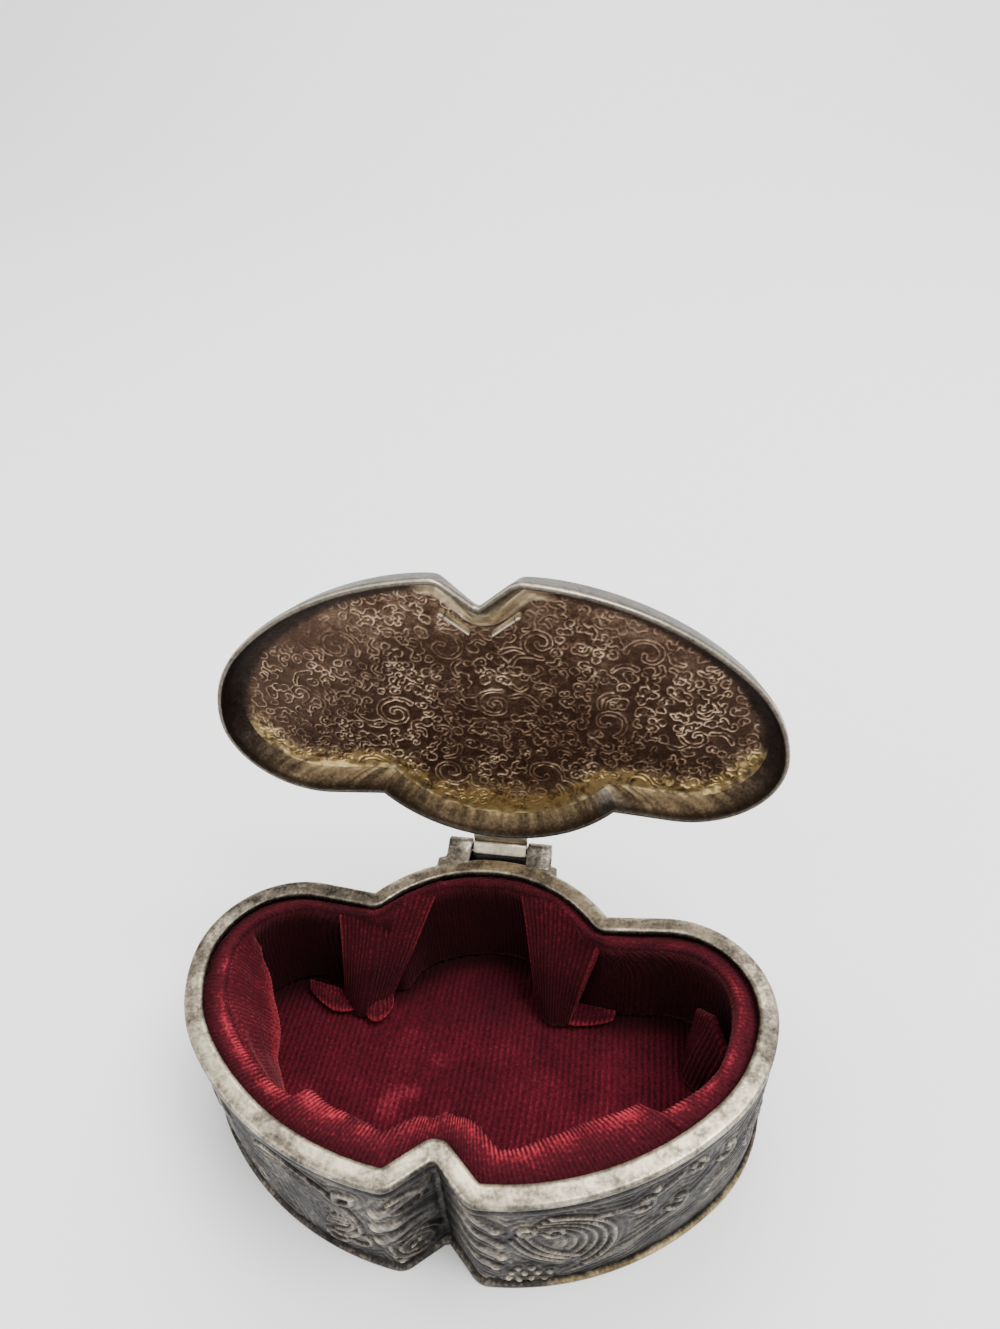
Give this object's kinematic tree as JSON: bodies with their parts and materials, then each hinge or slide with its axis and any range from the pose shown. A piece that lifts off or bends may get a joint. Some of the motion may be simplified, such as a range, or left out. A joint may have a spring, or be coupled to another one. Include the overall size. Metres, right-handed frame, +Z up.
{
  "type": "silver plated trinket box",
  "caption": "Hinged trinket box in the outline of two joined hearts, cast and silver plated with scroll carving, lined inside with ribbed red velvet; shown with the lid open.",
  "frame": {"origin": "on the underside, in the middle of the box's footprint", "axes": "+Z up, +X to the right along the width, -Y towards the front with the V notch, hinge at +Y"},
  "size_m": [0.108, 0.0757, 0.0987],
  "materials": {
    "cast_silver": "silver plated casting, blackened in the recesses, worn bright on the edges",
    "lid_silver": "silver plated casting, tarnished brown and gold inside",
    "pin_steel": "dull drawn wire",
    "floor_velvet": "ribbed deep red velvet",
    "wall_velvet": "ribbed deep red velvet"
  },
  "bodies": {
    "base": {"base": "cast_silver", "hinge_pin": "pin_steel", "lining_floor": "floor_velvet", "lining_wall": "wall_velvet"},
    "lid": {"lid": "lid_silver"}
  },
  "joints": [
    {"name": "lid_hinge", "type": "hinge", "parent": "base", "child": "lid", "pos_m": [0, 0.036, 0.02995], "axis": [1, 0, 0], "range_deg": [0, 84.6]}
  ]
}
